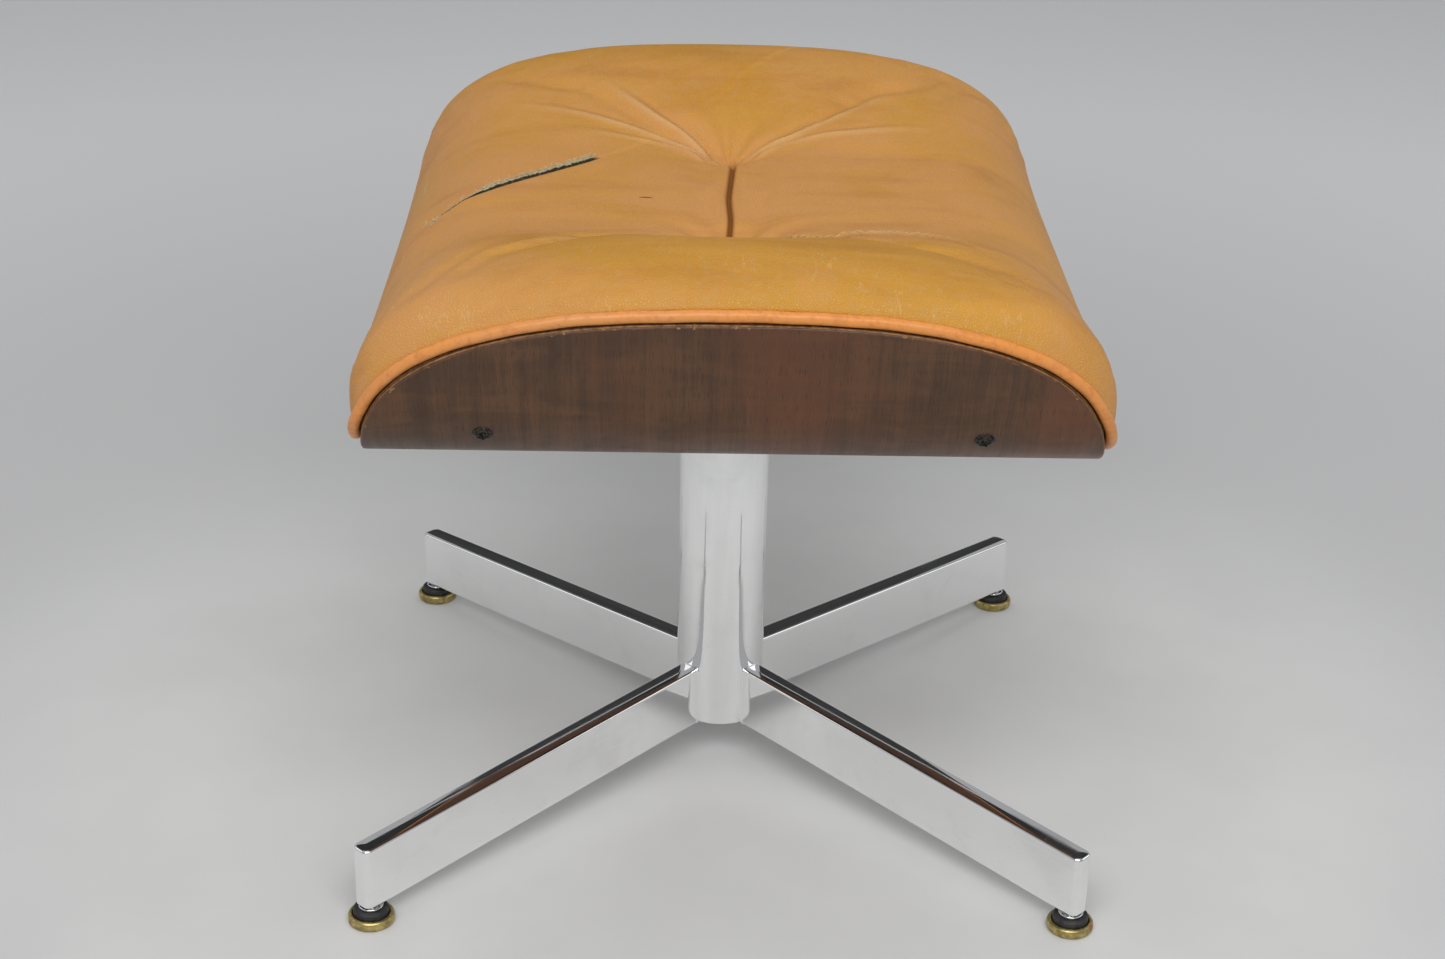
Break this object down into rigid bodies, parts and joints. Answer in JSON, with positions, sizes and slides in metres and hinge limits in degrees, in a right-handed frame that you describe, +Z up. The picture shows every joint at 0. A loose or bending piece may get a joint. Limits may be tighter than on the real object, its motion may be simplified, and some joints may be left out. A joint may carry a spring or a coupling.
{
  "type": "swivel ottoman",
  "caption": "Leather-cushioned ottoman: bent-plywood shell that swivels on a chrome column with flat sloping legs and levelling glides.",
  "frame": {"origin": "on the floor under the column's axis", "axes": "+Z up, +Y along the seat's long axis towards the rear wing, +X to the right seen from the front wing"},
  "size_m": [0.448, 0.5124, 0.424],
  "materials": {
    "chrome": "polished",
    "steel": "zinc plated",
    "black_steel": "satin black",
    "nylon": "moulded",
    "rubber": "matte",
    "aged_brass": "aged",
    "walnut": "oiled walnut veneer",
    "birch": "unfinished plywood",
    "foam": "open-cell foam",
    "twine": "waxed",
    "leather": "aniline, worn",
    "piping_leather": "aniline, worn"
  },
  "bodies": {
    "base": {"column_tube": "chrome", "column_end_disc": "chrome", "upper_bush": "nylon", "lower_bush": "nylon", "leg_front_left": "chrome", "leg_front_right": "chrome", "leg_rear_left": "chrome", "leg_rear_right": "chrome", "leg_nut_front_left": "steel", "leg_nut_front_right": "steel", "leg_nut_rear_left": "steel", "leg_nut_rear_right": "steel"},
    "seat": {"thrust_washer": "steel", "swivel_hub": "black_steel", "swivel_spindle": "steel", "retaining_washer": "steel", "retaining_clip": "steel", "seat_plate": "black_steel", "plate_bolts": "black_steel", "tee_nuts": "steel", "shell": "walnut", "cushion_board": "birch", "board_spacers": "rubber", "board_inserts": "steel", "board_screws": "black_steel", "tuft_anchors": "steel", "tuft_twines": "twine", "cushion_foam": "foam", "cushion_cover": "leather", "cushion_piping": "piping_leather"},
    "foot_ring_front_left": {"glide_rubber_front_left": "rubber"},
    "foot_stem_front_left": {"glide_stem_front_left": "steel", "glide_collar_front_left": "chrome"},
    "foot_cup_front_left": {"glide_cup_front_left": "aged_brass"},
    "foot_ring_front_right": {"glide_rubber_front_right": "rubber"},
    "foot_stem_front_right": {"glide_stem_front_right": "steel", "glide_collar_front_right": "chrome"},
    "foot_cup_front_right": {"glide_cup_front_right": "aged_brass"},
    "foot_ring_rear_left": {"glide_rubber_rear_left": "rubber"},
    "foot_stem_rear_left": {"glide_stem_rear_left": "steel", "glide_collar_rear_left": "chrome"},
    "foot_cup_rear_left": {"glide_cup_rear_left": "aged_brass"},
    "foot_ring_rear_right": {"glide_rubber_rear_right": "rubber"},
    "foot_stem_rear_right": {"glide_stem_rear_right": "steel", "glide_collar_rear_right": "chrome"},
    "foot_cup_rear_right": {"glide_cup_rear_right": "aged_brass"}
  },
  "joints": [
    {"name": "seat_swivel", "type": "hinge", "parent": "base", "child": "seat", "pos_m": [0, 0, 0.28], "axis": [0, 0, 1], "continuous": true},
    {"name": "level_front_left", "type": "slide", "parent": "base", "child": "foot_ring_front_left", "axis": [0, 0, -1], "range_m": [0, 0.0076]},
    {"name": "turn_front_left", "type": "hinge", "parent": "foot_ring_front_left", "child": "foot_stem_front_left", "pos_m": [-0.21, -0.21, 0.006], "axis": [0, 0, -1], "range_deg": [0, 2160]},
    {"name": "tilt_front_left", "type": "hinge", "parent": "foot_ring_front_left", "child": "foot_cup_front_left", "pos_m": [-0.21, -0.21, 0.0021], "axis": [0.7071, -0.7071, 0], "range_deg": [-3, 3]},
    {"name": "level_front_right", "type": "slide", "parent": "base", "child": "foot_ring_front_right", "axis": [0, 0, -1], "range_m": [0, 0.0076]},
    {"name": "turn_front_right", "type": "hinge", "parent": "foot_ring_front_right", "child": "foot_stem_front_right", "pos_m": [0.21, -0.21, 0.006], "axis": [0, 0, -1], "range_deg": [0, 2160]},
    {"name": "tilt_front_right", "type": "hinge", "parent": "foot_ring_front_right", "child": "foot_cup_front_right", "pos_m": [0.21, -0.21, 0.0021], "axis": [0.7071, 0.7071, 0], "range_deg": [-3, 3]},
    {"name": "level_rear_left", "type": "slide", "parent": "base", "child": "foot_ring_rear_left", "axis": [0, 0, -1], "range_m": [0, 0.0076]},
    {"name": "turn_rear_left", "type": "hinge", "parent": "foot_ring_rear_left", "child": "foot_stem_rear_left", "pos_m": [-0.21, 0.21, 0.006], "axis": [0, 0, -1], "range_deg": [0, 2160]},
    {"name": "tilt_rear_left", "type": "hinge", "parent": "foot_ring_rear_left", "child": "foot_cup_rear_left", "pos_m": [-0.21, 0.21, 0.0021], "axis": [-0.7071, -0.7071, 0], "range_deg": [-3, 3]},
    {"name": "level_rear_right", "type": "slide", "parent": "base", "child": "foot_ring_rear_right", "axis": [0, 0, -1], "range_m": [0, 0.0076]},
    {"name": "turn_rear_right", "type": "hinge", "parent": "foot_ring_rear_right", "child": "foot_stem_rear_right", "pos_m": [0.21, 0.21, 0.006], "axis": [0, 0, -1], "range_deg": [0, 2160]},
    {"name": "tilt_rear_right", "type": "hinge", "parent": "foot_ring_rear_right", "child": "foot_cup_rear_right", "pos_m": [0.21, 0.21, 0.0021], "axis": [-0.7071, 0.7071, 0], "range_deg": [-3, 3]}
  ],
  "couplings": [
    {"joint": "turn_front_left", "follows": "level_front_left", "rad_per_m": 4947.4},
    {"joint": "turn_front_right", "follows": "level_front_right", "rad_per_m": 4947.4},
    {"joint": "turn_rear_left", "follows": "level_rear_left", "rad_per_m": 4947.4},
    {"joint": "turn_rear_right", "follows": "level_rear_right", "rad_per_m": 4947.4}
  ]
}
